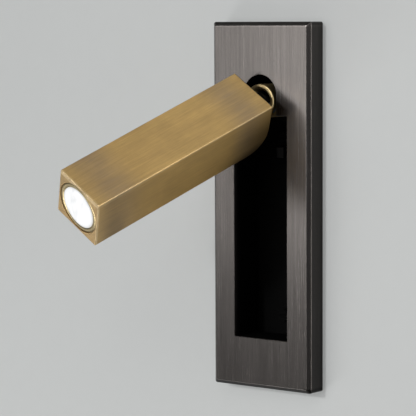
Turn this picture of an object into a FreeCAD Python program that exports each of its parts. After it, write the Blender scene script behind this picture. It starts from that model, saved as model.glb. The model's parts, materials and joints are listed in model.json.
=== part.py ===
import FreeCAD, Part
import math
import os

# Bedside wall reading lamp, in millimetres. X is to the right, +Y points into the wall and +Z is up. The
# wall's face is Y = 0, and the plate's middle is at X = Z = 0. Everything that moves is drawn folded into
# the pocket, then tilted about the hinge pin and swivelled about the tube's axis to its resting place.

# Face plate
plate_width = 65.0
plate_height = 200.0
plate_depth = 12.6
plate_wall = 2.5
plate_corner_radius = 1.3
bevel_inset = 2.0
bevel_depth = 1.95
bevel_round = 0.6
bevel_corner_radius = 0.8
opening_width = 35.2
opening_top = 49.4
opening_bottom = -72.4
opening_edge = 0.3
round_hole_radius = 10.5
round_hole_z = 60.9

# Pocket behind the opening
liner_wall = 1.2
liner_step = 0.4
liner_flange = 6.0
liner_back_y = 10.5
liner_head_room = 1.6

# Studs that hold the plate to the liner
stud_radius = 1.5
stud_length = 6.0
stud_z = 60.0
stud_nut_flats = 5.5
stud_nut_depth = 2.4

# Box in the wall
box_depth = 42.0
box_sheet = 1.2
rim_beside = 3.5
rim_above = 7.0
rim_room = 0.5
rim_hole_radius = 1.75
entry_from_back = 10.8
entry_hole_radius = 7.0

# Screws from the pocket into the box's posts
fixing_z = (36.0, -62.0)
fixing_screw_radius = 1.75
fixing_head_radius = 3.4
fixing_head_height = 2.2
fixing_screw_length = 16.0
post_radius = 3.5

# Swivel tube and its bush
swivel_z = 57.3
tube_radius = 9.2
tube_bore_radius = 6.2
tube_mouth_radius = 7.7
tube_mouth_depth = 1.5
tube_rim_round = 0.6
tube_proud = 0.5
stem_radius = 7.0
stem_bore_radius = 4.0
stem_end_y = 30.0
bush_radius = 9.0
bush_flange_radius = 12.0
bush_flange_depth = 1.2
bush_end_y = 20.0
bush_plate_width = 34.0
bush_plate_height = 40.0
bush_plate_depth = 4.0
bush_nut_flats = 24.0
bush_nut_depth = 3.5

# Swivel stop and what holds the tube in its bush
swivel_each_way = 90.0
stop_disc_radius = 17.5
stop_disc_depth = 1.2
stop_peg_radius = 1.25
stop_peg_offset = 15.6
stop_notch_floor = 13.9
spring_washer_radius = 11.0
spring_washer_depth = 1.2
lock_nut_flats = 20.0
lock_nut_depth = 5.4

# Hinge
hinge_depth = 3.76
hinge_pin_radius = 2.0
tongue_thickness = 6.0
tongue_width = 8.0
tongue_eye_radius = 4.6
tongue_spigot_radius = 3.0
tongue_nut_flats = 10.0
tongue_nut_depth = 3.0
friction_washer_radius = 4.2
friction_washer_depth = 0.8

# Head
head_side = 30.9
head_length = 119.5
hinge_to_head = 9.6
hinge_above_middle = 1.13
head_corner_radius = 13.1
head_edge_round = 0.6
head_end_round = 0.4
head_rear_wall = 12.0
head_bore_radius = 13.2

# Lens end, in depths from the head's front face
bezel_radius = 14.4
bezel_recess = 0.5
bezel_crown = 0.4
bezel_depth = 1.6
bezel_skirt = 4.0
lens_view_radius = 11.65
lens_depth = 2.0
lens_edge_recess = 0.2
lens_crown = 0.6
bezel_skirt_wall = 0.75
seal_depth = 1.0
seal_width = 1.4
reflector_depth = 15.0
reflector_wall = 0.8
chip_side = 7.0
chip_depth = 1.0
board_radius = 12.6
board_depth = 1.6
board_screw_radius = 1.0
board_screw_offset = 9.0
board_screw_head_radius = 1.9
board_screw_head_depth = 0.9
sink_rear_room = 11.3
sink_core_radius = 7.0
sink_bore_radius = 2.5
sink_fins = 16
sink_fin_thickness = 1.3
sink_base_depth = 5.0

# Plunger switch
plunger_width = 5.0
plunger_height = 6.0
plunger_z = 28.5
plunger_proud = 4.5
plunger_length = 7.5
plunger_travel = 3.0
switch_width = 9.0
switch_height = 18.0
switch_depth = 10.0
switch_wall = 0.4

# Supply and terminals, on the box's back
driver_width = 38.0
driver_height = 48.0
driver_depth = 20.0
driver_z = -14.0
driver_tab_width = 12.0
driver_tab_height = 6.5
driver_tab_depth = 1.5
driver_screw_radius = 1.5
driver_screw_head_radius = 2.8
driver_screw_head_depth = 1.8
terminal_width = 30.0
terminal_height = 11.0
terminal_depth = 12.0
terminal_z = -52.0
terminal_poles = 3
terminal_pitch = 9.5
terminal_screw_radius = 1.7
terminal_screw_sink = 2.0
terminal_screw_depth = 3.0
earth_beside = 9.0
earth_below = 16.0
earth_radius = 2.0
earth_length = 9.0
earth_nut_flats = 7.0
earth_nut_depth = 3.0
grommet_bore_radius = 4.0
grommet_lip_radius = 8.6
grommet_length = 6.0

# Resting place of the head
swivel_rest = 34.8
tilt_rest = 61.3

# Clearances
running_gap = 0.05
press_gap = 0.02
face_gap = 0.2
part_gap = 0.3
washer_gap = 0.1

# Places worked out from the sizes above
plate_front_y = -plate_depth
plate_inner_y = plate_front_y + plate_wall
hinge_y = plate_front_y + hinge_depth
hinge_point = FreeCAD.Vector(0, hinge_y, swivel_z)
liner_half_width = opening_width / 2 + liner_step
liner_bottom = opening_bottom - liner_step
liner_top = round_hole_z + round_hole_radius + liner_head_room
liner_rear_y = liner_back_y + liner_wall
stud_x = liner_half_width + liner_wall + stud_nut_flats / 2 / math.cos(math.pi / 6) + part_gap
box_inner_y = box_depth - box_sheet
box_rim_width = plate_width - 2 * (plate_wall + rim_room)
box_rim_height = plate_height - 2 * (plate_wall + rim_room)
box_width = box_rim_width - 2 * rim_beside
box_height = box_rim_height - 2 * rim_above
rim_hole_z = box_height / 2 + rim_above / 2
earth_x = earth_beside - box_width / 2
earth_z = box_height / 2 - earth_below
entry_y = box_inner_y - entry_from_back
bush_front_y = liner_back_y - bush_flange_depth
bush_plate_rear_y = liner_rear_y + bush_plate_depth
shoulder_y = bush_front_y - face_gap
stop_disc_y = bush_end_y + face_gap
spring_washer_y = stop_disc_y + stop_disc_depth
lock_nut_y = spring_washer_y + spring_washer_depth
head_middle_y = hinge_y + hinge_above_middle
head_rear_z = swivel_z - hinge_to_head
head_front_z = head_rear_z - head_length
head_bore_rear_z = head_rear_z - head_rear_wall
lens_front = bezel_recess + bezel_depth
lens_radius = head_bore_radius - press_gap - bezel_skirt_wall - press_gap
seal_front = lens_front + lens_depth
reflector_front = seal_front + seal_depth
chip_front = reflector_front + reflector_depth
board_front = chip_front + chip_depth
sink_front = board_front + board_depth
sink_rear = head_length - head_rear_wall - tongue_nut_depth - sink_rear_room
driver_front_y = box_inner_y - driver_depth


def block(x0, x1, y0, y1, z0, z1):
    return Part.makeBox(x1 - x0, y1 - y0, z1 - z0, FreeCAD.Vector(x0, y0, z0))


def centred_block(width, height, y0, y1, x=0.0, z=0.0):
    return block(x - width / 2, x + width / 2, y0, y1, z - height / 2, z + height / 2)


def rod_y(radius, y0, y1, x=0.0, z=0.0):
    return Part.makeCylinder(radius, y1 - y0, FreeCAD.Vector(x, y0, z), FreeCAD.Vector(0, 1, 0))


def rod_x(radius, x0, x1, y, z):
    return Part.makeCylinder(radius, x1 - x0, FreeCAD.Vector(x0, y, z), FreeCAD.Vector(1, 0, 0))


def ring_y(outer, inner, y0, y1, x=0.0, z=0.0):
    return rod_y(outer, y0, y1, x, z).cut(rod_y(inner, y0, y1, x, z))


def hexagon_y(flats, y0, y1, x=0.0, z=0.0):
    corner = flats / 2 / math.cos(math.pi / 6)
    points = [
        FreeCAD.Vector(x + corner * math.cos(i * math.pi / 3), y0, z + corner * math.sin(i * math.pi / 3))
        for i in range(7)
    ]
    return Part.Face(Part.makePolygon(points)).extrude(FreeCAD.Vector(0, y1 - y0, 0))


def in_head(depth, radius=0.0):
    """A point at a depth from the head's front face, and at a radius from its middle line."""
    return FreeCAD.Vector(radius, head_middle_y, head_front_z + depth)


def head_rod(radius, depth0, depth1, x=0.0, y=0.0):
    start = in_head(depth0) + FreeCAD.Vector(x, y, 0)
    return Part.makeCylinder(radius, depth1 - depth0, start, FreeCAD.Vector(0, 0, 1))


def head_turned(profile):
    """A solid turned about the head's middle line from (radius, depth) corners."""
    points = [in_head(depth, radius) for radius, depth in profile]
    face = Part.Face(Part.makePolygon(points + points[:1]))
    return face.revolve(in_head(0), FreeCAD.Vector(0, 0, 1), 360)


def swivelled(shape):
    """Turns a piece of the swivel from its folded place to its resting place."""
    turned = shape.copy()
    turned.rotate(hinge_point, FreeCAD.Vector(0, 1, 0), swivel_rest)
    return turned


def tilted(shape):
    """Turns a piece of the head from its folded place to its resting place."""
    turned = shape.copy()
    turned.rotate(hinge_point, FreeCAD.Vector(-1, 0, 0), tilt_rest)
    return swivelled(turned)


def opening_face(grow, y):
    """The keyhole outline: a long pocket with a narrower, round-topped hole above it."""
    half = opening_width / 2 + grow
    radius = round_hole_radius + grow
    top = opening_top + grow
    bottom = opening_bottom - grow
    corners = [
        FreeCAD.Vector(-radius, y, round_hole_z),
        FreeCAD.Vector(-radius, y, top),
        FreeCAD.Vector(-half, y, top),
        FreeCAD.Vector(-half, y, bottom),
        FreeCAD.Vector(half, y, bottom),
        FreeCAD.Vector(half, y, top),
        FreeCAD.Vector(radius, y, top),
        FreeCAD.Vector(radius, y, round_hole_z),
    ]
    crown = Part.Arc(corners[-1], FreeCAD.Vector(0, y, round_hole_z + radius), corners[0]).toShape()
    return Part.Wire(Part.makePolygon(corners).Edges + [crown])


def rounded_rectangle(width, height, corner, y):
    lines = []
    last = FreeCAD.Vector(width / 2, y, height / 2 - corner)
    for i, (side_x, side_z) in enumerate([(1, 1), (-1, 1), (-1, -1), (1, -1)]):
        centre = FreeCAD.Vector(side_x * (width / 2 - corner), y, side_z * (height / 2 - corner))
        points = [
            centre + FreeCAD.Vector(corner * math.cos(angle), 0, corner * math.sin(angle))
            for angle in [math.pi / 4 * (2 * i + step) for step in range(3)]
        ]
        if i:
            lines.append(Part.makeLine(last, points[0]))
        lines.append(Part.Arc(*points).toShape())
        last = points[2]
    lines.append(Part.makeLine(last, FreeCAD.Vector(width / 2, y, height / 2 - corner)))
    return Part.Wire(lines)


def face_plate():
    bevel_y = plate_front_y + bevel_depth
    edge = rounded_rectangle(plate_width, plate_height, plate_corner_radius, bevel_y)
    front = rounded_rectangle(
        plate_width - 2 * bevel_inset, plate_height - 2 * bevel_inset, bevel_corner_radius, plate_front_y
    )
    body = Part.Face(edge).extrude(FreeCAD.Vector(0, -bevel_y, 0))
    body = body.fuse(Part.makeLoft([edge, front], True, True)).removeSplitter()
    level = [line for line in body.Edges if line.BoundBox.YLength < 0.01]
    body = body.makeFillet(bevel_round, [line for line in level if line.BoundBox.YMax < bevel_y + 0.01])
    hollow = centred_block(plate_width - 2 * plate_wall, plate_height - 2 * plate_wall, plate_inner_y, 0)
    opening = Part.Face(opening_face(0, plate_front_y)).extrude(FreeCAD.Vector(0, plate_wall, 0))
    rim = Part.makeLoft(
        [opening_face(opening_edge, plate_front_y), opening_face(0, plate_front_y + opening_edge)], True
    )
    return body.cut(hollow).cut(opening).cut(rim)


def stud_places():
    return [(x, z) for x in (-stud_x, stud_x) for z in (-stud_z, stud_z)]


def plate_studs():
    return [rod_y(stud_radius, plate_inner_y, plate_inner_y + stud_length, x, z) for x, z in stud_places()]


def plate_nuts():
    seat_y = plate_inner_y + liner_wall
    bore = stud_radius + press_gap
    return [
        hexagon_y(stud_nut_flats, seat_y, seat_y + stud_nut_depth, x, z).cut(
            rod_y(bore, seat_y, seat_y + stud_nut_depth, x, z)
        )
        for x, z in stud_places()
    ]


def pocket_liner():
    outer_half = liner_half_width + liner_wall
    low = liner_bottom - liner_wall
    high = liner_top + liner_wall
    shell = block(-outer_half, outer_half, plate_inner_y, liner_rear_y, low, high)
    reach = outer_half + liner_flange
    flange = block(
        -reach, reach, plate_inner_y, plate_inner_y + liner_wall, low - liner_flange, high + liner_flange
    )
    inside = block(-liner_half_width, liner_half_width, plate_inner_y, liner_back_y, liner_bottom, liner_top)
    liner = shell.fuse(flange).removeSplitter().cut(inside)
    holes = [rod_y(stud_radius + part_gap, plate_inner_y, 0, x, z) for x, z in stud_places()]
    holes += [rod_y(fixing_screw_radius + part_gap, liner_back_y, liner_rear_y, 0, z) for z in fixing_z]
    holes.append(rod_y(bush_radius + press_gap, liner_back_y, liner_rear_y, 0, swivel_z))
    holes.append(plunger_hole(liner_back_y, liner_rear_y))
    return liner.cut(Part.makeCompound(holes))


def back_box():
    tray = centred_block(box_width, box_height, 0, box_depth)
    rim = centred_block(box_rim_width, box_rim_height, -box_sheet, 0)
    inside = centred_block(box_width - 2 * box_sheet, box_height - 2 * box_sheet, -box_sheet, box_inner_y)
    box = tray.fuse(rim).removeSplitter().cut(inside)
    holes = [rod_y(rim_hole_radius, -box_sheet, 0, 0, z) for z in (-rim_hole_z, rim_hole_z)]
    entry = Part.makeCylinder(entry_hole_radius, box_sheet, FreeCAD.Vector(0, entry_y, -box_height / 2))
    return box.cut(Part.makeCompound(holes + [entry]))


def support_posts():
    bore = fixing_screw_radius + press_gap
    return [ring_y(post_radius, bore, liner_rear_y, box_inner_y, 0, z) for z in fixing_z]


def fixing_screws():
    head_y = liner_back_y - fixing_head_height
    screws = []
    for z in fixing_z:
        head = rod_y(fixing_head_radius, head_y, liner_back_y, 0, z)
        shank = rod_y(fixing_screw_radius, liner_back_y, liner_back_y + fixing_screw_length, 0, z)
        slot = centred_block(2 * fixing_head_radius, 0.8, head_y, head_y + fixing_head_height / 2, 0, z)
        screws.append(head.fuse(shank).cut(slot))
    return screws


def bush_plate():
    plate = centred_block(bush_plate_width, bush_plate_height, liner_rear_y, bush_plate_rear_y, 0, swivel_z)
    lowest = fixing_z[0] + post_radius + part_gap
    trimmed = plate.common(
        block(-plate_width, plate_width, 0, box_depth, lowest, box_height / 2 - box_sheet - part_gap)
    )
    peg_z = swivel_z + stop_peg_offset
    bush_hole = rod_y(bush_radius + press_gap, liner_rear_y, bush_plate_rear_y, 0, swivel_z)
    peg_hole = rod_y(stop_peg_radius + press_gap, liner_rear_y, bush_plate_rear_y, 0, peg_z)
    return trimmed.cut(bush_hole).cut(peg_hole)


def stop_peg():
    end_y = stop_disc_y + stop_disc_depth + face_gap
    return rod_y(stop_peg_radius, liner_rear_y, end_y, 0, swivel_z + stop_peg_offset)


def swivel_bush():
    flange = rod_y(bush_flange_radius, bush_front_y, liner_back_y, 0, swivel_z)
    sleeve = rod_y(bush_radius, liner_back_y, bush_end_y, 0, swivel_z)
    bore = rod_y(stem_radius + running_gap, bush_front_y, bush_end_y, 0, swivel_z)
    return flange.fuse(sleeve).cut(bore)


def bush_nut():
    end_y = bush_plate_rear_y + bush_nut_depth
    return hexagon_y(bush_nut_flats, bush_plate_rear_y, end_y, 0, swivel_z).cut(
        rod_y(bush_radius + press_gap, bush_plate_rear_y, end_y, 0, swivel_z)
    )


def swivel_tube():
    """A brass tube with a rounded rim and a slot down one side, so that it is the fork of the hinge."""
    rim_y = plate_front_y - tube_proud
    floor_y = hinge_y + tongue_eye_radius + part_gap
    outline = [
        (tube_mouth_radius, rim_y),
        (tube_radius - tube_rim_round, rim_y),
        (tube_radius, rim_y + tube_rim_round),
        (tube_radius, shoulder_y),
        (stem_radius, shoulder_y),
        (stem_radius, stem_end_y),
        (stem_bore_radius, stem_end_y),
        (stem_bore_radius, floor_y),
        (tube_bore_radius, floor_y),
        (tube_bore_radius, rim_y + tube_mouth_depth),
    ]
    points = [FreeCAD.Vector(radius, y, swivel_z) for radius, y in outline]
    lines = [Part.makeLine(points[i], points[(i + 1) % len(points)]) for i in range(len(points))]
    corner = FreeCAD.Vector(tube_radius - tube_rim_round, rim_y + tube_rim_round, swivel_z)
    swing = tube_rim_round * math.sqrt(0.5)
    lines[1] = Part.Arc(points[1], corner + FreeCAD.Vector(swing, -swing, 0), points[2]).toShape()
    axis_point = FreeCAD.Vector(0, 0, swivel_z)
    turned = Part.Face(Part.Wire(lines)).revolve(axis_point, FreeCAD.Vector(0, 1, 0), 360)
    slot_half = tongue_thickness / 2 + part_gap
    slot = block(-slot_half, slot_half, rim_y, floor_y, swivel_z - tube_radius, swivel_z)
    pin_hole = rod_x(hinge_pin_radius + press_gap, -tube_radius, tube_radius, hinge_y, swivel_z)
    return swivelled(turned.cut(slot).cut(pin_hole))


def hinge_pin():
    end = math.sqrt(tube_radius**2 - hinge_pin_radius**2) - part_gap
    return swivelled(rod_x(hinge_pin_radius, -end, end, hinge_y, swivel_z))


def friction_washers():
    inner_x = tongue_thickness / 2 + washer_gap
    washers = []
    for start in (inner_x, -inner_x - friction_washer_depth):
        end = start + friction_washer_depth
        washer = rod_x(friction_washer_radius, start, end, hinge_y, swivel_z)
        hole = rod_x(hinge_pin_radius + press_gap, start, end, hinge_y, swivel_z)
        washers.append(swivelled(washer.cut(hole)))
    return washers


def stop_disc():
    """A disc on the stem whose notch lets the peg pass for the whole swivel and no more."""
    end_y = stop_disc_y + stop_disc_depth
    disc = ring_y(stop_disc_radius, stem_radius + press_gap, stop_disc_y, end_y, 0, swivel_z)
    notch_half = math.radians(swivel_each_way) + math.asin((stop_peg_radius + part_gap) / stop_peg_offset)
    centre = FreeCAD.Vector(0, stop_disc_y, swivel_z)
    sector = Part.makeCylinder(
        stop_disc_radius + 1, stop_disc_depth, centre, FreeCAD.Vector(0, 1, 0), math.degrees(2 * notch_half)
    )
    middle = sector.CenterOfMass - centre
    sector = sector.cut(rod_y(stop_notch_floor, stop_disc_y, end_y, 0, swivel_z))
    turn = math.degrees(math.atan2(middle.x, middle.z))
    sector.rotate(centre, FreeCAD.Vector(0, 1, 0), -turn)
    return swivelled(disc.cut(sector))


def spring_washer():
    return swivelled(ring_y(
        spring_washer_radius, stem_radius + press_gap, spring_washer_y, spring_washer_y + spring_washer_depth,
        0, swivel_z,
    ))


def lock_nut():
    end_y = lock_nut_y + lock_nut_depth
    bore = rod_y(stem_radius + press_gap, lock_nut_y, end_y, 0, swivel_z)
    return swivelled(hexagon_y(lock_nut_flats, lock_nut_y, end_y, 0, swivel_z).cut(bore))


def hinge_tongue():
    half = tongue_thickness / 2
    eye = rod_x(tongue_eye_radius, -half, half, hinge_y, swivel_z)
    bar = block(-half, half, hinge_y - tongue_width / 2, hinge_y + tongue_width / 2, head_rear_z, swivel_z)
    spigot_end_z = head_bore_rear_z - tongue_nut_depth
    spigot = Part.makeCylinder(
        tongue_spigot_radius, head_rear_z - spigot_end_z, FreeCAD.Vector(0, hinge_y, spigot_end_z)
    )
    pin_hole = rod_x(hinge_pin_radius + running_gap, -half, half, hinge_y, swivel_z)
    return tilted(eye.fuse(bar).fuse(spigot).cut(pin_hole).removeSplitter())


def tongue_nut():
    start = FreeCAD.Vector(0, hinge_y, head_bore_rear_z - tongue_nut_depth)
    corner = tongue_nut_flats / 2 / math.cos(math.pi / 6)
    points = [
        start + FreeCAD.Vector(corner * math.cos(i * math.pi / 3), corner * math.sin(i * math.pi / 3), 0)
        for i in range(7)
    ]
    nut = Part.Face(Part.makePolygon(points)).extrude(FreeCAD.Vector(0, 0, tongue_nut_depth))
    bore = Part.makeCylinder(tongue_spigot_radius + press_gap, tongue_nut_depth, start)
    return tilted(nut.cut(bore))


def head_casing():
    """A square bar with one rounded corner at its rear, bored out from the lens end."""
    half = head_side / 2
    back_y = head_middle_y + half
    front_y = head_middle_y - half
    corner_y = back_y - head_corner_radius
    corner_z = head_rear_z - head_corner_radius
    swing = head_corner_radius * math.sqrt(0.5)
    places = [
        (corner_y, head_rear_z), (front_y, head_rear_z), (front_y, head_front_z),
        (back_y, head_front_z), (back_y, corner_z),
    ]
    points = [FreeCAD.Vector(-half, y, z) for y, z in places]
    lines = [Part.makeLine(points[i], points[i + 1]) for i in range(4)]
    middle = FreeCAD.Vector(-half, corner_y + swing, corner_z + swing)
    lines.append(Part.Arc(points[4], middle, points[0]).toShape())
    bar = Part.Face(Part.Wire(lines)).extrude(FreeCAD.Vector(head_side, 0, 0))
    bar = bar.makeFillet(head_edge_round, [edge for edge in bar.Edges if not edge_is_at_lens_end(edge)])
    bar = bar.makeFillet(head_end_round, [edge for edge in bar.Edges if edge_is_at_lens_end(edge)])
    bore = head_rod(head_bore_radius, 0, head_length - head_rear_wall)
    seat = head_rod(bezel_radius + press_gap, 0, lens_front)
    spigot_hole = Part.makeCylinder(
        tongue_spigot_radius + press_gap, head_rear_wall, FreeCAD.Vector(0, hinge_y, head_bore_rear_z)
    )
    return tilted(bar.cut(bore).cut(seat).cut(spigot_hole))


def edge_is_at_lens_end(edge):
    return edge.BoundBox.ZMax < head_front_z + 0.01


def bezel_ring():
    """A ring with a crowned face, whose skirt is pressed into the casing's bore behind the lens."""
    skirt_outer = head_bore_radius - press_gap
    skirt_inner = skirt_outer - bezel_skirt_wall
    outline = [
        (bezel_radius, bezel_recess),
        (bezel_radius, lens_front),
        (skirt_outer, lens_front),
        (skirt_outer, lens_front + bezel_skirt),
        (skirt_inner, lens_front + bezel_skirt),
        (skirt_inner, lens_front),
        (lens_view_radius, lens_front),
        (lens_view_radius, bezel_recess),
    ]
    points = [in_head(depth, radius) for radius, depth in outline]
    lines = [Part.makeLine(points[i], points[i + 1]) for i in range(len(points) - 1)]
    top = in_head(bezel_recess - bezel_crown, (bezel_radius + lens_view_radius) / 2)
    lines.append(Part.Arc(points[-1], top, points[0]).toShape())
    return tilted(Part.Face(Part.Wire(lines)).revolve(in_head(0), FreeCAD.Vector(0, 0, 1), 360))


def lens():
    """A frosted disc with a step that fills the bezel and ends in a shallow dome."""
    view_radius = lens_view_radius - press_gap
    crown_radius = (view_radius**2 + lens_crown**2) / (2 * lens_crown)
    disc = head_rod(lens_radius, lens_front, seal_front)
    step = head_rod(view_radius, lens_edge_recess - lens_crown, lens_front)
    ball = Part.makeSphere(crown_radius, in_head(lens_edge_recess - lens_crown + crown_radius))
    return tilted(disc.fuse(step.common(ball)))


def seal_ring():
    ring = head_rod(lens_radius, seal_front, reflector_front)
    return tilted(ring.cut(head_rod(lens_radius - seal_width, seal_front, reflector_front)))


def reflector():
    mouth = lens_radius - seal_width / 2
    throat = chip_side / 2 * math.sqrt(2) + part_gap
    return tilted(head_turned([
        (mouth - reflector_wall, reflector_front),
        (mouth, reflector_front),
        (throat + reflector_wall, chip_front),
        (throat, chip_front),
    ]))


def led_chip():
    half = chip_side / 2
    y = head_middle_y
    z = head_front_z
    return tilted(block(-half, half, y - half, y + half, z + chip_front, z + board_front))


def board_screw_places():
    return [(board_screw_offset, 0.0), (-board_screw_offset, 0.0)]


def led_board():
    board = head_rod(board_radius, board_front, sink_front)
    for x, y in board_screw_places():
        board = board.cut(head_rod(board_screw_radius + press_gap, board_front, sink_front, x, y))
    return tilted(board)


def board_screws():
    screws = []
    for x, y in board_screw_places():
        head = head_rod(board_screw_head_radius, board_front - board_screw_head_depth, board_front, x, y)
        shank = head_rod(board_screw_radius, board_front, sink_front + sink_base_depth - part_gap, x, y)
        screws.append(tilted(head.fuse(shank)))
    return screws


def heat_sink():
    sink_radius = head_bore_radius - part_gap / 2
    base = head_rod(sink_radius, sink_front, sink_front + sink_base_depth)
    core = head_rod(sink_core_radius, sink_front, sink_rear)
    fins = []
    for i in range(sink_fins):
        fin = block(
            0, sink_radius, head_middle_y - sink_fin_thickness / 2, head_middle_y + sink_fin_thickness / 2,
            head_front_z + sink_front, head_front_z + sink_rear,
        )
        fin.rotate(in_head(0), FreeCAD.Vector(0, 0, 1), 360.0 * (i + 0.5) / sink_fins)
        fins.append(fin)
    limit = head_rod(sink_radius, sink_front, sink_rear)
    sink = core.multiFuse(fins + [base]).common(limit)
    sink = sink.cut(head_rod(sink_bore_radius, sink_front, sink_rear))
    base_rear = sink_front + sink_base_depth
    for x, y in board_screw_places():
        sink = sink.cut(head_rod(board_screw_radius + press_gap, sink_front, base_rear, x, y))
    return tilted(sink)


def plunger_hole(y0, y1):
    return centred_block(plunger_width + 2 * part_gap, plunger_height + 2 * part_gap, y0, y1, 0, plunger_z)


def switch_plunger():
    tip_y = liner_back_y - plunger_proud
    body = centred_block(plunger_width, plunger_height, tip_y, tip_y + plunger_length, 0, plunger_z)
    return body.makeFillet(0.6, [edge for edge in body.Edges if edge.BoundBox.YMax < tip_y + 0.1])


def switch_body():
    top = plunger_z + plunger_height / 2 + part_gap + switch_wall
    middle = top - switch_height / 2
    body = centred_block(switch_width, switch_height, liner_rear_y, liner_rear_y + switch_depth, 0, middle)
    room_y = liner_back_y - plunger_proud + plunger_length + plunger_travel + part_gap
    return body.cut(plunger_hole(liner_rear_y, room_y))


def driver_tab_places():
    offset = driver_height / 2 + driver_tab_height / 2
    return [driver_z + offset, driver_z - offset]


def driver_case():
    case = centred_block(driver_width, driver_height, driver_front_y, box_inner_y, 0, driver_z)
    case = case.makeFillet(1.5, [edge for edge in case.Edges if edge.BoundBox.YLength > driver_depth / 2])
    tab_y = box_inner_y - driver_tab_depth
    for z in driver_tab_places():
        tab = centred_block(driver_tab_width, driver_tab_height, tab_y, box_inner_y, 0, z)
        hole = rod_y(driver_screw_radius + press_gap, tab_y, box_inner_y, 0, z)
        case = case.fuse(tab).cut(hole)
    return case


def driver_screws():
    seat_y = box_inner_y - driver_tab_depth
    return [
        rod_y(driver_screw_head_radius, seat_y - driver_screw_head_depth, seat_y, 0, z).fuse(
            rod_y(driver_screw_radius, seat_y, box_inner_y, 0, z)
        )
        for z in driver_tab_places()
    ]


def terminal_xs():
    return [(i - (terminal_poles - 1) / 2) * terminal_pitch for i in range(terminal_poles)]


def terminal_block():
    front_y = box_inner_y - terminal_depth
    body = centred_block(terminal_width, terminal_height, front_y, box_inner_y, 0, terminal_z)
    deep_y = front_y + terminal_screw_sink + terminal_screw_depth
    wells = [rod_y(terminal_screw_radius + press_gap, front_y, deep_y, x, terminal_z) for x in terminal_xs()]
    return body.cut(Part.makeCompound(wells))


def terminal_screws():
    start_y = box_inner_y - terminal_depth + terminal_screw_sink
    end_y = start_y + terminal_screw_depth
    return [rod_y(terminal_screw_radius, start_y, end_y, x, terminal_z) for x in terminal_xs()]


def earth_stud():
    return rod_y(earth_radius, box_inner_y - earth_length, box_inner_y, earth_x, earth_z)


def earth_nut():
    seat_y = box_inner_y - earth_nut_depth
    return hexagon_y(earth_nut_flats, seat_y, box_inner_y, earth_x, earth_z).cut(
        rod_y(earth_radius + press_gap, seat_y, box_inner_y, earth_x, earth_z)
    )


def cable_grommet():
    middle_z = -box_height / 2 + box_sheet / 2
    start = FreeCAD.Vector(0, entry_y, middle_z - grommet_length / 2)
    body = Part.makeCylinder(grommet_lip_radius, grommet_length, start)
    groove_start = FreeCAD.Vector(0, entry_y, -box_height / 2)
    groove = Part.makeCylinder(grommet_lip_radius, box_sheet, groove_start).cut(
        Part.makeCylinder(entry_hole_radius - press_gap, box_sheet, groove_start)
    )
    return body.cut(groove).cut(Part.makeCylinder(grommet_bore_radius, grommet_length, start))


NODES = [
    face_plate, plate_studs, plate_nuts, pocket_liner, back_box, support_posts, fixing_screws, bush_plate,
    stop_peg, swivel_bush, bush_nut, swivel_tube, hinge_pin, friction_washers, stop_disc, spring_washer,
    lock_nut, hinge_tongue, tongue_nut, head_casing, bezel_ring, lens, seal_ring, reflector, led_chip,
    led_board, board_screws, heat_sink, switch_plunger, switch_body, driver_case, driver_screws,
    terminal_block, terminal_screws, earth_stud, earth_nut, cable_grommet,
]


def main():
    os.makedirs("parts", exist_ok=True)
    for make in NODES:
        made = make()
        shape = Part.makeCompound(made) if isinstance(made, list) else made
        if not shape.isValid() or not shape.Solids:
            raise ValueError(make.__name__ + " is not a sound solid")
        shape.exportStep("parts/" + make.__name__ + ".step")
        print(make.__name__, len(shape.Solids), round(shape.Volume, 1))


main()
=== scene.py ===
import json
import math

import bmesh
import bpy
from bpy.props import FloatProperty, FloatVectorProperty, PointerProperty
from mathutils import Matrix, Vector


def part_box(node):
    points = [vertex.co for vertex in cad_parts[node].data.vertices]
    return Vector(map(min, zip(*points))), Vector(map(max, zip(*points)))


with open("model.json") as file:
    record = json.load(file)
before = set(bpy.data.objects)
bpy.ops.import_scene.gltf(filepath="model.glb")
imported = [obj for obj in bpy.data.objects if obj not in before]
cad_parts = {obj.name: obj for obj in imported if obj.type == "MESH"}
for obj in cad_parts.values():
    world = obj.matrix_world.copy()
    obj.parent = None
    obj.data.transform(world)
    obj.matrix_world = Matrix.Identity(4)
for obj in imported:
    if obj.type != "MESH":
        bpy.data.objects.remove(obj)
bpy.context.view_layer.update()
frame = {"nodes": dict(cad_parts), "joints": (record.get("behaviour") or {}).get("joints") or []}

bl_info = {
    "name": "Recessed reading lamp",
    "version": (1, 0, 0),
    "blender": (4, 5, 0),
    "location": "3D View > Sidebar > Reading lamp",
    "description": "Dresses the packed recessed wall reading lamp and sets its studio",
    "category": "Object",
}

MM = 0.001
WHITE = (1.0, 1.0, 1.0)
PLATE_LOW, PLATE_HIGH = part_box("face_plate")
LENS_LOW, LENS_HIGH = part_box("lens")
LENS_MIDDLE = (LENS_LOW + LENS_HIGH) / 2
JOINTS = {joint["name"]: joint for joint in frame["joints"]}
HINGE = Vector(JOINTS["head_tilt"]["pos_m"])
# The head's own X at rest, along its hinge pin.
HEAD_SIDE = (Vector(JOINTS["head_tilt"]["axis"]) * -1).normalized()

# Along the head from the hinge: where the casing starts, how long it is, and where its lens end is.
CASING_REAR = 9.6 * MM
HEAD_LENGTH = 119.5 * MM
LENS_END = CASING_REAR + HEAD_LENGTH

# Depths behind the plate's front face: where its bevel starts, where that face has wholly ended, where the
# bevel's painted shade is full, and where the bevel ends. Behind that the side's painted shade deepens over
# SIDE_FADE.
BEVEL_START = 0.1 * MM
FACE_END = 0.4 * MM
BEVEL_FULLY_SHADED = 0.6 * MM
BEVEL_END = 2.0 * MM
SIDE_FADE = 0.8 * MM
# Painted shade: the shares of its colour that the bevel keeps at the plate's foot, on its lower slope and on
# its upper one.
FOOT_SHARE = 0.62
LOWER_SLOPE_SHARE = 0.3
UPPER_SLOPE_SHARE = 0.66
# Distances from the plate's ends, over which the two slopes take on those shares.
LOWER_SLOPE = (2.1 * MM, 2.7 * MM)
UPPER_SLOPE = (1.9 * MM, 1.5 * MM)
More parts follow.
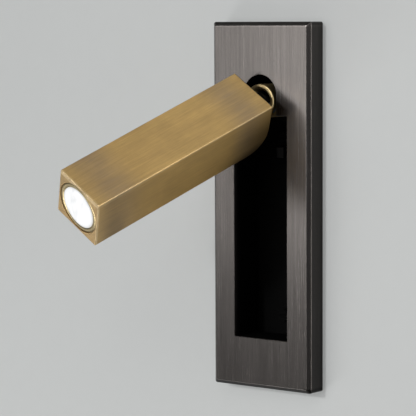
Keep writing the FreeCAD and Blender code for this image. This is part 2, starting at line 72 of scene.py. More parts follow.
# The painted highlight line under the upper slope: its distance from the plate's upper edge, its reach and its
# strength.
PAINTED_HIGHLIGHT_LINE = (2.3 * MM, 0.6 * MM, 0.4)

# Patches on the head, each with its middle and its reach as shares of the casing's length.
REAR_PATINA = (0.13, 0.13)
FRONT_PATINA = (0.87, 0.155)
SIDE_PATCH = (0.91, 0.11)
# Painted shade: the head darkens near the hinge, over this reach, and between these heights above and below the
# pin.
REAR_REACH = 42.0 * MM
REAR_SHADE = (13.5 * MM, -4.0 * MM)
UNDERSIDE = (-9.0 * MM, -15.0 * MM)
# Where the head's sides begin, out from its middle; where the painted shade on its rear face ends, from the
# rear; and where its end face begins, back from the lens end. The end face darkens to its upper corner by
# height less distance across.
SIDES = (15.2 * MM, 15.42 * MM)
REAR_FACE = (0.1 * MM, 0.5 * MM)
END_FACE = (0.3 * MM, 0.1 * MM)
CORNER = (2.0 * MM, 26.0 * MM)
# How far in from the head's long edges the rubbed brass, which is also a painted highlight, starts and is full,
# and the same from its lens end.
EDGE_RUB = (0.9 * MM, 0.1 * MM)
END_RUB = (1.5 * MM, 0.4 * MM)
LONG_EDGE_HIGHLIGHT_SHARE = 0.3
# The lens's glow falls off between these distances from its middle.
LENS_FADE = (8.5 * MM, 11.8 * MM)
# The shine is turned by a quarter of a turn, from along the brush lines to across them.
ACROSS_BRUSH = 0.25

# The pixels at which the camera's axis falls in the square photograph, that photograph's side, and the width
# of the camera's sensor in millimetres.
AXIS_COLUMN = 208.07
AXIS_ROW = 208.43
PHOTO_SIDE = 416
SENSOR_WIDTH = 36.0

# The hole in the wall is this share of the box that is set in it, so that the box's rim covers its edge.
HOLE_SHARE = 0.97
# Painted light: the wall's glow rises from left to right over this distance on either side of the lamp.
GLOW_REACH = 0.20
WORLD_COLOUR = (0.62, 0.63, 0.64)
WORLD_STRENGTH = 0.14
# Each soft light's name, its place, the point it faces, its width and height, its radiance, and its roll in
# degrees. The broad panel at the left ends near the lamp's level, so that the plate mirrors its lower edge.
LIGHTS = (
    ("left_panel", (-0.45, -1.68, 0.19), (0.0, 0.0, 0.05), (1.2, 1.1), 1.97, -15),
    ("key_lamp", (-0.26, -1.62, 0.44), (0.0, 0.0, 0.0), (0.15, 0.15), 115.0, 0),
    ("front_panel", (0.45, -1.25, 1.05), (0.0, 0.0, 0.0), (1.2, 0.8), 1.0, 0),
    ("ceiling_panel", (0.25, -0.05, 1.5), (0.0, -0.06, 0.0), (0.7, 0.7), 0.4, 0),
    ("right_panel", (0.85, -0.03, 0.95), (0.0, -0.06, 0.0), (0.5, 0.5), 3.8, 0),
    ("edge_panel", (1.0, -0.10, 0.0), (0.0, -0.02, 0.0), (0.16, 1.0), 8.0, 0),
    ("low_panel", (-0.66, -0.19, -0.27), (-0.03, -0.12, 0.0), (0.3, 0.24), 0.7, 0),
    ("under_panel", (-0.48, -0.44, -0.46), (0.0, -0.01, -0.1), (0.3, 0.2), 6.0, 0),
)


def look(name, colour, roughness, metallic=0.0):
    """A principled material with its own constants set on the shader's sockets."""
    made = bpy.data.materials.new(name)
    made.use_nodes = True
    fix(made, "Base Color", (*colour, 1.0))
    fix(made, "Roughness", roughness)
    fix(made, "Metallic", metallic)
    return made


def shader_of(made):
    return made.node_tree.nodes["Principled BSDF"]


def fix(made, socket, value):
    """Sets a constant on the shader itself."""
    shader_of(made).inputs[socket].default_value = value


def node(made, kind, **inputs):
    """A new node, with constants for the inputs that are named."""
    new = made.node_tree.nodes.new(kind)
    for key, value in inputs.items():
        new.inputs[key.replace("_", " ")].default_value = value
    return new


def join(made, start, end):
    made.node_tree.links.new(start, end)


def feed(made, output, socket):
    """Joins an output to one of the shader's sockets."""
    join(made, output, shader_of(made).inputs[socket])


def grey(value):
    return (value, value, value)


def vector_math(made, operation, vector, term=None):
    """One operation on a vector, with a constant vector as its second term where it has one."""
    new = node(made, "ShaderNodeVectorMath")
    new.operation = operation
    join(made, vector, new.inputs[0])
    if term is not None:
        new.inputs[1].default_value = term
    return new


def place(made, turn=(0.0, 0.0, 0.0), scale=(1.0, 1.0, 1.0), centre=(0.0, 0.0, 0.0)):
    """Object coordinates moved so that centre is the origin, then turned and scaled."""
    coordinates = node(made, "ShaderNodeTexCoord").outputs["Object"]
    shifted = vector_math(made, "SUBTRACT", coordinates, centre).outputs["Vector"]
    mapping = node(made, "ShaderNodeMapping", Rotation=turn)
    mapping.vector_type = "POINT"
    join(made, shifted, mapping.inputs["Vector"])
    return vector_math(made, "MULTIPLY", mapping.outputs["Vector"], scale).outputs["Vector"]


def head_place(made, scale=(1.0, 1.0, 1.0), centre=HINGE):
    """Object coordinates from centre in the head's own directions, then scaled."""
    return place(made, turn=head_axes().to_euler(), scale=scale, centre=centre)


def noise(made, vector, scale, detail=4.0, roughness=0.6):
    texture = node(made, "ShaderNodeTexNoise", Scale=scale, Detail=detail, Roughness=roughness)
    join(made, vector, texture.inputs["Vector"])
    return texture.outputs["Fac"]


def ramp(made, value, stops):
    """A colour ramp from (place, colour) stops."""
    new = node(made, "ShaderNodeValToRGB")
    join(made, value, new.inputs["Fac"])
    elements = new.color_ramp.elements
    while len(elements) < len(stops):
        elements.new(0.5)
    for element, (spot, colour) in zip(elements, stops):
        element.position = spot
        element.color = (*colour, 1.0)
    return new.outputs["Color"]


def tone(made, value, low, high, dark, light):
    """A grey that goes from dark to light as the value goes from low to high."""
    return ramp(made, value, [(low, grey(dark)), (high, grey(light))])


def span(made, value, low, high, to_low, to_high, interpolation="LINEAR"):
    """Goes from to_low to to_high as the value goes from low to high, and stays there on either side."""
    new = node(made, "ShaderNodeMapRange", From_Min=low, From_Max=high, To_Min=to_low, To_Max=to_high)
    new.interpolation_type = interpolation
    join(made, value, new.inputs["Value"])
    return new.outputs["Result"]


def part_of(made, vector, axis):
    new = node(made, "ShaderNodeSeparateXYZ")
    join(made, vector, new.inputs["Vector"])
    return new.outputs[axis]


def calc(made, operation, *terms):
    """The result of one operation on numbers or outputs."""
    new = node(made, "ShaderNodeMath")
    new.operation = operation
    for socket, term in zip(new.inputs, terms):
        if isinstance(term, bpy.types.NodeSocket):
            join(made, term, socket)
        else:
            socket.default_value = term
    return new.outputs["Value"]


def multiply(made, first, second):
    return calc(made, "MULTIPLY", first, second)


def plus(made, first, second):
    return calc(made, "ADD", first, second)


def hump(made, value, middle, reach):
    """1 at the middle, falling smoothly to 0 at the reach on either side."""
    rise = span(made, value, middle - reach, middle, 0.0, 1.0, "SMOOTHSTEP")
    fall = span(made, value, middle, middle + reach, 1.0, 0.0, "SMOOTHSTEP")
    return multiply(made, rise, fall)


def mix(made, factor, first, second, blend="MIX"):
    """Two colours, each constant or an output, mixed by a factor."""
    new = node(made, "ShaderNodeMix")
    new.data_type = "RGBA"
    new.blend_type = blend
    sockets = [new.inputs[0], new.inputs[6], new.inputs[7]]
    for socket, value in zip(sockets, (factor, first, second)):
        if isinstance(value, bpy.types.NodeSocket):
            join(made, value, socket)
        elif isinstance(value, (int, float)):
            socket.default_value = value
        else:
            socket.default_value = (*value, 1.0)
    return new.outputs[2]


def shaded(made, colour, shade):
    """A colour multiplied by another or by a share."""
    return mix(made, 1.0, colour, shade, "MULTIPLY")


def mix_shaders(made, factor, first, second):
    new = node(made, "ShaderNodeMixShader")
    for socket, output in zip(new.inputs, (factor, first, second)):
        join(made, output, socket)
    return new.outputs["Shader"]


def drift(made, texture, dark, light, low=0.3, high=0.8):
    """Lets the base colour drift from dark to light as a texture goes from low to high."""
    feed(made, ramp(made, texture, [(low, dark), (high, light)]), "Base Color")


def gloss(made, texture, smooth, rough, low=0.2, high=0.8):
    """Lets the roughness follow a texture."""
    feed(made, span(made, texture, low, high, smooth, rough), "Roughness")


def bump(made, height, strength, distance):
    new = node(made, "ShaderNodeBump", Strength=strength, Distance=distance)
    join(made, height, new.inputs["Height"])
    feed(made, new.outputs["Normal"], "Normal")


def brush(made, direction, amount):
    """Stretches the shine across brush lines that run along a direction of the piece."""
    line = node(made, "ShaderNodeCombineXYZ", **dict(zip("XYZ", direction)))
    turn = node(made, "ShaderNodeVectorTransform")
    turn.vector_type = "VECTOR"
    turn.convert_from = "OBJECT"
    turn.convert_to = "WORLD"
    join(made, line.outputs["Vector"], turn.inputs["Vector"])
    feed(made, turn.outputs["Vector"], "Tangent")
    fix(made, "Anisotropic", amount)
    fix(made, "Anisotropic Rotation", ACROSS_BRUSH)


def head_axes():
    """The rotation from the model's directions to the head's own: X along the pin, Z out of the lens."""
    out = head_direction()
    return Matrix((HEAD_SIDE, out.cross(HEAD_SIDE), out))


def head_direction():
    """Along the head and out of its lens, at rest."""
    rough = LENS_MIDDLE - HINGE
    rough -= HEAD_SIDE * rough.dot(HEAD_SIDE)
    # The head's middle line passes below the pin by the hinge offset, so turn by the small angle that it makes.
    angle = math.asin(settings().hinge_offset / rough.length)
    return Matrix.Rotation(angle, 3, HEAD_SIDE) @ rough.normalized()


def settings():
    return bpy.context.scene.reading_lamp


def dress(material, *names):
    """Gives carried-over pieces their material."""
    for name in names:
        mesh = frame["nodes"][name].data
        mesh.materials.clear()
        mesh.materials.append(material)


def plate_painted_shade(made):
    """Painted shade on the plate: how much of its colour it keeps on its bevel, its sides and its ends, with a
    painted highlight line under its upper slope.
    """
    where = place(made)
    depth, height = part_of(made, where, "Y"), part_of(made, where, "Z")
    front, foot, top = PLATE_LOW.y, PLATE_LOW.z, PLATE_HIGH.z
    # Painted shade on the bevel, and further back on the sides.
    bevel = span(made, depth, front + BEVEL_START, front + BEVEL_FULLY_SHADED, 1.0, settings().bevel_painted_shade)
    bevel_end = front + BEVEL_END
    side = span(made, depth, bevel_end, bevel_end + SIDE_FADE, 1.0, settings().side_painted_shade)
    # Painted shade: the bevel and the sides darken towards the foot, and the front face doesn't.
    off_front = span(made, depth, front + BEVEL_START, front + FACE_END, 0.0, 1.0)
    falling = span(made, height, foot, top, FOOT_SHARE, 1.0)
    falling = calc(made, "MAXIMUM", falling, calc(made, "SUBTRACT", 1.0, off_front))
    below = span(made, height, foot + LOWER_SLOPE[0], foot + LOWER_SLOPE[1], LOWER_SLOPE_SHARE, 1.0)
    above = span(made, height, top - UPPER_SLOPE[0], top - UPPER_SLOPE[1], 1.0, UPPER_SLOPE_SHARE)
    # A painted highlight line under the upper slope.
    line, reach, strength = PAINTED_HIGHLIGHT_LINE
    lit = plus(made, multiply(made, hump(made, height, top - line, reach), strength), 1.0)
    ends = multiply(made, multiply(made, above, lit), multiply(made, falling, below))
    return multiply(made, multiply(made, bevel, side), ends)


def patch_along(made, along, middle, reach):
    """A patch on the head, with its middle and its reach as shares of the casing's length."""
    return hump(made, along, CASING_REAR + HEAD_LENGTH * middle, HEAD_LENGTH * reach)


def aged_and_shaded_brass(made, skin, colour):
    """The head's brass before its brush lines: mottled, with patina near both ends and a patch on its side,
    painted shade near the hinge, on its underside and on its rear face, and darker towards the upper corner of
    its end face.
    """
    across, up, along = (part_of(made, skin, axis) for axis in "XYZ")
    mottle = noise(made, skin, 90.0, 4.0, 0.55)
    brass = ramp(made, mottle, [(0.3, colour * 0.90), (0.7, colour * 1.05)])

    clouds = span(made, noise(made, skin, 42.0, 3.0, 0.5), 0.36, 0.62, 0.6, 1.0)
    strokes = noise(made, head_place(made, (1.0, 1.0, 0.06)), 650.0, 3.0)
    clouds = multiply(made, clouds, span(made, strokes, 0.35, 0.65, 0.7, 1.0))
    rear = patch_along(made, along, *REAR_PATINA)
    front = patch_along(made, along, *FRONT_PATINA)
    patina = multiply(made, plus(made, rear, front), clouds)

    # Painted shade: near the hinge the head darkens downwards, and more so on its underside.
    behind = hump(made, along, CASING_REAR, REAR_REACH)
    low = multiply(made, behind, span(made, up, *REAR_SHADE, 0.0, 0.85))
    underside = multiply(made, behind, span(made, up, *UNDERSIDE, 0.0, 1.0))
    on_side = span(made, calc(made, "ABSOLUTE", across), *SIDES, 0.0, 0.75)
    patch = multiply(made, patch_along(made, along, *SIDE_PATCH), clouds)
    # Painted shade on the head's rear face, which faces the plate, and just past its edge.
    rear_face_shade = span(made, along, CASING_REAR + REAR_FACE[0], CASING_REAR + REAR_FACE[1], 0.9, 0.0)
    end_face = span(made, along, LENS_END - END_FACE[0], LENS_END - END_FACE[1], 0.0, 1.0)
    slant = calc(made, "SUBTRACT", up, across)
    corner = multiply(made, end_face, span(made, slant, *CORNER, 0.0, 0.45))

    # Each place and the colour that it takes on, from the lowest layer to the highest.
    for where, shade in (
        (patina, settings().patina_colour),
        (low, colour * 0.25),
        (underside, colour * 0.06),
        (multiply(made, on_side, patch), colour * 0.40),
        (rear_face_shade, colour * 0.12),
        (corner, colour * 0.42),
    ):
        brass = mix(made, where, brass, shade)
    return brass


def edge_wear_and_highlight(made, skin):
    """Rubbed bright brass with a painted highlight on the head's edges: its long edges and the rim of its lens
    end.
    """
    across, up, along = (part_of(made, skin, axis) for axis in "XYZ")
    aside = calc(made, "ABSOLUTE", across)
    above = calc(made, "ABSOLUTE", plus(made, up, settings().hinge_offset))
    low, high = (settings().head_half - inset for inset in EDGE_RUB)
    near_side, near_top = (span(made, value, low, high, 0.0, 1.0) for value in (aside, above))
    at_end = span(made, along, LENS_END - END_RUB[0], LENS_END - END_RUB[1], 0.0, 1.0)
    long_edges = multiply(made, multiply(made, near_side, near_top), LONG_EDGE_HIGHLIGHT_SHARE)
    rim = multiply(made, at_end, calc(made, "MAXIMUM", near_side, near_top))
    patchy = span(made, noise(made, skin, 260.0, 3.0, 0.6), 0.3, 0.7, 0.35, 0.75)
    return multiply(made, calc(made, "MAXIMUM", long_edges, rim), patchy)


class LampSettings(bpy.types.PropertyGroup):
    """Sizes and colours of the lamp's finishes, with the shares of painted shade on the plate and the colour of
    the painted highlight on the head's edges.
    """

    plate_colour: FloatVectorProperty(
        name="Plate colour", description="Dark bronze of the face plate", subtype="COLOR",
        default=(0.229, 0.209, 0.197), min=0.0, max=1.0,
    )
    brass_colour: FloatVectorProperty(
        name="Brass colour", description="Antique brass of the head", subtype="COLOR",
        default=(0.60, 0.388, 0.134), min=0.0, max=1.0,
    )
    # Painted shade on the plate's bevel.
    bevel_painted_shade: FloatProperty(
        name="Bevel shade", description="How much of its colour the plate keeps on its bevel",
        default=0.68, min=0.0, max=1.0,
    )
    # Painted shade on the plate's side towards the wall.
    side_painted_shade: FloatProperty(
        name="Side shade", description="How much of its colour the plate's side keeps at the wall",
        default=0.36, min=0.0, max=1.0,
    )
    lens_glow: FloatProperty(
        name="Lens glow", description="Emission strength of the lit lens", default=0.93, min=0.0, max=5.0,
    )
    patina_colour: FloatVectorProperty(
        name="Patina colour", description="Grey brown of the worn patches on the brass", subtype="COLOR",
        default=(0.37, 0.26, 0.145), min=0.0, max=1.0,
    )
    # Painted highlight: the rubbed brass on the head's edges is also painted bright as their shine.
    worn_highlight_colour: FloatVectorProperty(
        name="Worn edge colour", description="Bright brass where the head's edges are rubbed", subtype="COLOR",
        default=(0.84, 0.66, 0.38), min=0.0, max=1.0,
    )
    bezel_colour: FloatVectorProperty(
        name="Bezel colour", description="Olive brass of the ring round the lens", subtype="COLOR",
        default=(0.50, 0.40, 0.22), min=0.0, max=1.0,
    )
    head_half: FloatProperty(
        name="Half of the head", description="Half of the head's square side",
        default=15.45 * MM, unit="LENGTH",
    )
    hinge_offset: FloatProperty(
        name="Hinge offset", description="How far the pin sits off the head's middle line",
        default=1.13 * MM, unit="LENGTH",
    )


class StageSettings(bpy.types.PropertyGroup):
    """The studio round the lamp."""

    camera_azimuth: FloatProperty(
        name="Camera azimuth", description="Angle round the lamp from straight in front",
        default=math.radians(37.582), subtype="ANGLE",
    )
    camera_elevation: FloatProperty(
        name="Camera elevation", description="Angle of the camera above the level",
        default=math.radians(5.239), subtype="ANGLE",
    )
    camera_roll: FloatProperty(
        name="Camera roll", description="Turn about the camera's own line of sight",
        default=math.radians(-0.2725), subtype="ANGLE",
    )
    camera_distance: FloatProperty(
        name="Camera distance", description="From the camera to the point that it looks at",
        default=1.16886, unit="LENGTH",
    )
    camera_target: FloatVectorProperty(
        name="Camera target", description="Point on the wall that the camera looks at",
        default=(-0.045373, 0.0, -0.004323), subtype="TRANSLATION",
    )
    camera_lens: FloatProperty(
        name="Camera lens", description="Focal length in millimetres on a 36 mm sensor",
        default=180.21, min=1.0,
    )
    wall_size: FloatVectorProperty(
        name="Wall size", description="Width of the wall, and the height of its top edge", size=2,
        default=(0.80, 0.40), subtype="XYZ_LENGTH",
    )
    wall_gap: FloatProperty(
        name="Wall gap", description="How far the wall stands behind the plate's rear edge",
        default=0.0002, unit="LENGTH",
    )
    wall_glow: FloatProperty(
        name="Wall glow", description="Share of the wall's brightness that is even and takes no shadow",
        default=0.3, min=0.0, max=1.0,
    )
    floor_level: FloatProperty(
        name="Floor level", description="Height of the floor from the plate's middle",
        default=-0.90, unit="LENGTH",
    )
    floor_width: FloatProperty(
        name="Floor width", description="Side of the square floor", default=2.2, min=0.1, unit="LENGTH",
    )
    wall_colour: FloatVectorProperty(
        name="Wall colour", description="Pale grey of the wall", subtype="COLOR",
        default=(0.645, 0.658, 0.653), min=0.0, max=1.0,
    )


class LAMP_OT_plate(bpy.types.Operator):
    """Finishes the bronze face plate, with painted shade on its bevel and sides and a painted highlight line
    under its upper slope
    """

    bl_idname = "lamp.plate"
    bl_label = "Face plate"

    def execute(self, context):
        colour = Vector(settings().plate_colour)
        made = look("brushed_bronze", colour, 0.3, 1.0)
        lines = noise(made, place(made, scale=(1.0, 1.0, 0.012)), 2600.0, 6.0, 0.7)
        bands = noise(made, place(made, scale=(1.0, 1.0, 0.02)), 760.0, 4.0, 0.75)
        tint = ramp(made, bands, [(0.33, colour * 0.84), (0.67, colour * 1.11)])
        brushed = shaded(made, tint, tone(made, lines, 0.3, 0.7, 0.78, 1.0))
        feed(made, shaded(made, brushed, plate_painted_shade(made)), "Base Color")
        gloss(made, lines, 0.20, 0.30)
        bump(made, lines, 0.18, 0.04 * MM)
        brush(made, (0.0, 0.0, 1.0), 0.6)
        dress(made, "face_plate")
        return {"FINISHED"}


class LAMP_OT_pocket(bpy.types.Operator):
    """Finishes the black pocket and what is fixed in it"""

    bl_idname = "lamp.pocket"
    bl_label = "Pocket"

    def execute(self, context):
        black = look("black_powder_coat", grey(0.003), 0.7)
        fix(black, "Specular IOR Level", 0.04)
        grain = noise(black, place(black), 1800.0, 3.0)
        drift(black, grain, grey(0.001), grey(0.004))
        bump(black, grain, 0.3, 0.03 * MM)
        dress(black, "pocket_liner", "switch_body", "fixing_screws")

        steel = look("blackened_steel", grey(0.012), 0.45, 1.0)
        wear = noise(steel, place(steel), 900.0, 4.0)
        drift(steel, wear, grey(0.008), grey(0.018))
        gloss(steel, wear, 0.32, 0.5)
        dress(steel, "hinge_tongue", "swivel_bush")

        plastic = look("black_moulded_plastic", grey(0.006), 0.5)
        fix(plastic, "Specular IOR Level", 0.1)
        pores = noise(plastic, place(plastic), 2500.0, 3.0)
        drift(plastic, pores, grey(0.004), grey(0.008))
        bump(plastic, pores, 0.2, 0.02 * MM)
        dress(plastic, "switch_plunger", "friction_washers")
        return {"FINISHED"}


class LAMP_OT_head(bpy.types.Operator):
    """Finishes the brass head, its bezel and the swivel tube, with painted shade and painted highlights on the
    head
    """

    bl_idname = "lamp.head"
    bl_label = "Head"

    def execute(self, context):
        colour = Vector(settings().brass_colour)
        made = look("antique_brass", colour, 0.42, 1.0)
        fix(made, "Coat Weight", 0.9)
        fix(made, "Coat Roughness", 0.4)
        # Three sets of brush lines, drawn out along the head: fine scratches, coarser ones and soft bands.
        lines = noise(made, head_place(made, (1.0, 1.0, 0.02)), 2400.0, 6.0, 0.7)
        coarse = noise(made, head_place(made, (1.0, 1.0, 0.04)), 1100.0, 4.0, 0.7)
        bands = noise(made, head_place(made, (1.0, 1.0, 0.10)), 160.0, 3.0)
        skin = head_place(made)
        banded = shaded(made, aged_and_shaded_brass(made, skin, colour), tone(made, bands, 0.25, 0.75, 0.88, 1.0))
        scratches = shaded(
            made, tone(made, lines, 0.3, 0.7, 0.80, 1.0), tone(made, coarse, 0.3, 0.7, 0.88, 1.10),
        )
        tint = shaded(made, banded, scratches)
        feed(made, mix(made, edge_wear_and_highlight(made, skin), tint, settings().worn_highlight_colour), "Base Color")
        gloss(made, lines, 0.38, 0.52)
        bump(made, lines, 0.22, 0.04 * MM)
        brush(made, head_direction(), 0.8)
        dress(made, "head_casing")

        shade = Vector(settings().bezel_colour)
        dark = look("darkened_brass", shade, 0.34, 1.0)
        wear = noise(dark, place(dark), 420.0, 4.0)
        drift(dark, wear, shade * 0.8, shade * 1.15)
        gloss(dark, wear, 0.28, 0.42)
        dress(dark, "bezel_ring")

        turned = look("turned_brass", (0.80, 0.62, 0.32), 0.46, 1.0)
        marks = noise(turned, place(turned, scale=(1.0, 6.0, 1.0)), 700.0, 4.0)
        drift(turned, marks, (0.70, 0.54, 0.27), (0.88, 0.70, 0.38))
        gloss(turned, marks, 0.38, 0.54)
        dress(turned, "swivel_tube", "bush_nut", "lock_nut", "earth_stud", "earth_nut")
        return {"FINISHED"}


class LAMP_OT_light(bpy.types.Operator):
    """Finishes the lens and the lamp parts behind it"""

    bl_idname = "lamp.light"
    bl_label = "Light"

    def execute(self, context):
        glow = look("lit_lens", grey(0.10), 0.4)
        streaks = noise(glow, head_place(glow, (1.0, 0.35, 1.0), LENS_MIDDLE), 210.0, 3.0)
        shine = ramp(glow, streaks, [(0.35, (0.80, 0.815, 0.825)), (0.53, WHITE)])
        flat = head_place(glow, (1.0, 1.0, 0.0), LENS_MIDDLE)
        reach = vector_math(glow, "LENGTH", flat).outputs["Value"]
        edge = ramp(glow, span(glow, reach, *LENS_FADE, 0.0, 1.0), [
            (0.0, WHITE), (0.6, (0.90, 0.905, 0.91)), (1.0, (0.60, 0.60, 0.59)),
        ])
        feed(glow, shaded(glow, shine, edge), "Emission Color")
        fix(glow, "Emission Strength", settings().lens_glow)
        dress(glow, "lens")

        white = look("white_plastic", (0.82, 0.82, 0.80), 0.42)
        pores = noise(white, place(white), 900.0, 3.0)
        drift(white, pores, (0.78, 0.78, 0.76), (0.86, 0.86, 0.84))
        dress(white, "reflector", "led_board", "driver_case", "terminal_block")

        phosphor = look("phosphor", (0.90, 0.72, 0.20), 0.5)
        grain = noise(phosphor, place(phosphor), 3000.0, 2.0)
        drift(phosphor, grain, (0.85, 0.66, 0.16), (0.95, 0.78, 0.26))
        dress(phosphor, "led_chip")
        return {"FINISHED"}


class LAMP_OT_fittings(bpy.types.Operator):
    """Finishes the wall box, its steel fittings, the heat sink and the rubber"""

    bl_idname = "lamp.fittings"
    bl_label = "Fittings"

    def execute(self, context):
        zinc = look("zinc_plate", (0.55, 0.56, 0.57), 0.36, 1.0)
        spangle = node(zinc, "ShaderNodeTexVoronoi", Scale=260.0)
        join(zinc, place(zinc), spangle.inputs["Vector"])
        cells = spangle.outputs["Distance"]
        drift(zinc, cells, (0.50, 0.51, 0.52), (0.62, 0.63, 0.64), low=0.1, high=0.7)
        gloss(zinc, cells, 0.30, 0.45, low=0.0)
        dress(zinc, "back_box", "support_posts", "plate_studs", "plate_nuts", "bush_plate", "stop_peg",
              "stop_disc", "spring_washer", "hinge_pin", "tongue_nut", "board_screws", "driver_screws",
              "terminal_screws")

        alloy = look("extruded_aluminium", (0.75, 0.76, 0.77), 0.4, 1.0)
        drawn = noise(alloy, place(alloy, scale=(1.0, 1.0, 0.1)), 1500.0, 3.0)
        drift(alloy, drawn, (0.68, 0.69, 0.70), (0.80, 0.81, 0.82))
        dress(alloy, "heat_sink")

        rubber = look("black_rubber", grey(0.025), 0.7)
        bloom = noise(rubber, place(rubber), 800.0, 4.0)
        drift(rubber, bloom, grey(0.018), grey(0.034))
        dress(rubber, "cable_grommet", "seal_ring")
        return {"FINISHED"}


def flat_surface(name, corners, faces, material):
    """A flat staged surface, its faces given as lists of corner numbers."""
    mesh = bpy.data.meshes.new(name)
    shape = bmesh.new()
    points = [shape.verts.new(corner) for corner in corners]
    for face in faces:
        shape.faces.new([points[number] for number in face])
    shape.to_mesh(mesh)
    shape.free()
    mesh.materials.append(material)
    made = bpy.data.objects.new(name, mesh)
    bpy.context.scene.collection.objects.link(made)


def wall_with_hole(material, size, floor_level, gap):
    """The staged wall, with the hole that the box is set in."""
    low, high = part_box("back_box")
    hole = [(low.x, low.z), (high.x, low.z), (high.x, high.z), (low.x, high.z)]
    side = size.x / 2
    edge = [(-side, floor_level), (side, floor_level), (side, size.y), (-side, size.y)]
    corners = [(x, gap, z) for x, z in edge]
    corners += [(x * HOLE_SHARE, gap, z * HOLE_SHARE) for x, z in hole]
    faces = [(i, (i + 1) % 4, (i + 1) % 4 + 4, i + 4) for i in range(4)]
    flat_surface("wall", corners, faces, material)


def soft_light(name, spot, target, size, radiance, roll):
    """A panel of the given radiance at spot, facing target and rolled about that line."""
    lamp = bpy.data.lights.new(name, "AREA")
    lamp.shape = "RECTANGLE"
    lamp.size, lamp.size_y = size
    lamp.energy = radiance * math.pi * size[0] * size[1]
    made = bpy.data.objects.new(name, lamp)
    made.location = spot
    facing = (Vector(target) - Vector(spot)).to_track_quat("-Z", "Y").to_matrix()
    made.rotation_euler = (facing @ Matrix.Rotation(math.radians(roll), 3, "Z")).to_euler()
    made.visible_camera = False
    bpy.context.scene.collection.objects.link(made)


def backdrop(made, share):
    """Gives a staged surface a share of glow that takes no shadow, where the camera or a shine sees it, painted
    brighter from left to right.
    """
    sight = node(made, "ShaderNodeLightPath")
    seen = plus(made, sight.outputs["Is Camera Ray"], sight.outputs["Is Glossy Ray"])
    seen = plus(made, seen, sight.outputs["Is Transmission Ray"])
    portion = span(made, seen, 0.0, 1.0, 0.0, share)
    # Painted light: the glow is brighter to the right of the lamp.
    across = span(made, part_of(made, place(made), "X"), -GLOW_REACH, GLOW_REACH, 0.0, 1.0)
    glow = node(made, "ShaderNodeEmission")
    tint = ramp(made, across, [(0.0, (0.40, 0.413, 0.406)), (1.0, (0.65, 0.663, 0.656))])
    join(made, tint, glow.inputs["Color"])
    return mix_shaders(made, portion, shader_of(made).outputs["BSDF"], glow.outputs["Emission"])


def clear_from_behind(made, front):
    """Shows a staged surface from its front only, so that a view from behind sees past it."""
    clear = node(made, "ShaderNodeBsdfTransparent").outputs["BSDF"]
    behind = node(made, "ShaderNodeNewGeometry").outputs["Backfacing"]
    surface = made.node_tree.nodes["Material Output"].inputs["Surface"]
    join(made, mix_shaders(made, behind, front, clear), surface)


def make_camera(stage):
    """The camera, at the photograph's viewing angle."""
    azimuth, elevation, roll = stage.camera_azimuth, stage.camera_elevation, stage.camera_roll
    ahead = Vector((
        -math.sin(azimuth) * math.cos(elevation), math.cos(azimuth) * math.cos(elevation), -math.sin(elevation),
    ))
    right = Vector((math.cos(azimuth), math.sin(azimuth), 0.0))
    up = right.cross(ahead)
    rolled_right = right * math.cos(roll) + up * math.sin(roll)
    rolled_up = up * math.cos(roll) - right * math.sin(roll)
    turn = Matrix((rolled_right, rolled_up, -ahead)).transposed()
    spot = Vector(stage.camera_target) - ahead * stage.camera_distance
    camera = bpy.data.objects.new("camera", bpy.data.cameras.new("camera"))
    bpy.context.scene.collection.objects.link(camera)
    camera.matrix_world = Matrix.Translation(spot) @ turn.to_4x4()
    camera.data.lens = stage.camera_lens
    camera.data.sensor_width = SENSOR_WIDTH
    camera.data.shift_x = (PHOTO_SIDE / 2 - AXIS_COLUMN) / PHOTO_SIDE
    camera.data.shift_y = (AXIS_ROW - PHOTO_SIDE / 2) / PHOTO_SIDE
    bpy.context.scene.camera = camera


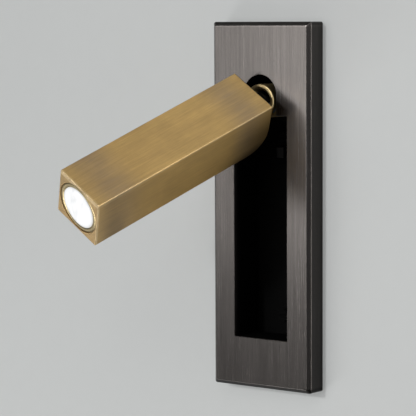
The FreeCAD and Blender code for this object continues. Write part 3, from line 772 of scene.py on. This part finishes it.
class LAMP_OT_stage(bpy.types.Operator):
    """Makes the camera, the wall, the floor and the soft lights"""

    bl_idname = "lamp.stage"
    bl_label = "Stage"

    def execute(self, context):
        stage = context.scene.lamp_stage
        make_camera(stage)

        wall = look("wall_paint", stage.wall_colour, 0.9)
        paint = Vector(stage.wall_colour)
        grain = noise(wall, place(wall), 90.0, 4.0)
        drift(wall, grain, paint * 0.985, paint, high=0.7)
        clear_from_behind(wall, backdrop(wall, stage.wall_glow))
        wall_with_hole(wall, Vector(stage.wall_size), stage.floor_level, stage.wall_gap)

        ground = look("floor_paint", (0.62, 0.62, 0.61), 0.85)
        speckle = noise(ground, place(ground), 60.0, 3.0)
        drift(ground, speckle, (0.60, 0.60, 0.59), (0.64, 0.64, 0.63), high=0.7)
        wide, low = stage.floor_width / 2, stage.floor_level
        corners = [(-wide, -wide, low), (wide, -wide, low), (wide, wide, low), (-wide, wide, low)]
        flat_surface("floor", corners, [range(4)], ground)

        world = bpy.data.worlds.new("studio")
        world.use_nodes = True
        background = world.node_tree.nodes["Background"]
        background.inputs["Color"].default_value = (*WORLD_COLOUR, 1.0)
        background.inputs["Strength"].default_value = WORLD_STRENGTH
        context.scene.world = world
        for light in LIGHTS:
            soft_light(*light)
        context.scene.view_settings.view_transform = "Standard"
        return {"FINISHED"}


class LAMP_PT_sidebar(bpy.types.Panel):
    """Lists the lamp's steps and settings"""

    bl_label = "Reading lamp"
    bl_idname = "LAMP_PT_sidebar"
    bl_space_type = "VIEW_3D"
    bl_region_type = "UI"
    bl_category = "Reading lamp"

    def draw(self, context):
        for group in (context.scene.reading_lamp, context.scene.lamp_stage):
            for name in group.__annotations__:
                self.layout.prop(group, name)
        for operator in OPERATORS:
            self.layout.operator(operator.bl_idname)


OPERATORS = (LAMP_OT_stage, LAMP_OT_plate, LAMP_OT_pocket, LAMP_OT_head, LAMP_OT_light, LAMP_OT_fittings)
CLASSES = (LampSettings, StageSettings, *OPERATORS, LAMP_PT_sidebar)


def register():
    for made in CLASSES:
        bpy.utils.register_class(made)
    bpy.types.Scene.reading_lamp = PointerProperty(type=LampSettings)
    bpy.types.Scene.lamp_stage = PointerProperty(type=StageSettings)


def unregister():
    del bpy.types.Scene.reading_lamp
    del bpy.types.Scene.lamp_stage
    for made in reversed(CLASSES):
        bpy.utils.unregister_class(made)


def main():
    for unwanted in ("Cube", "Light", "Camera"):
        if unwanted in bpy.data.objects:
            bpy.data.objects.remove(bpy.data.objects[unwanted])
    register()
    for operator in OPERATORS:
        section, action = operator.bl_idname.split(".")
        getattr(getattr(bpy.ops, section), action)()


if __name__ == "__main__":
    main()
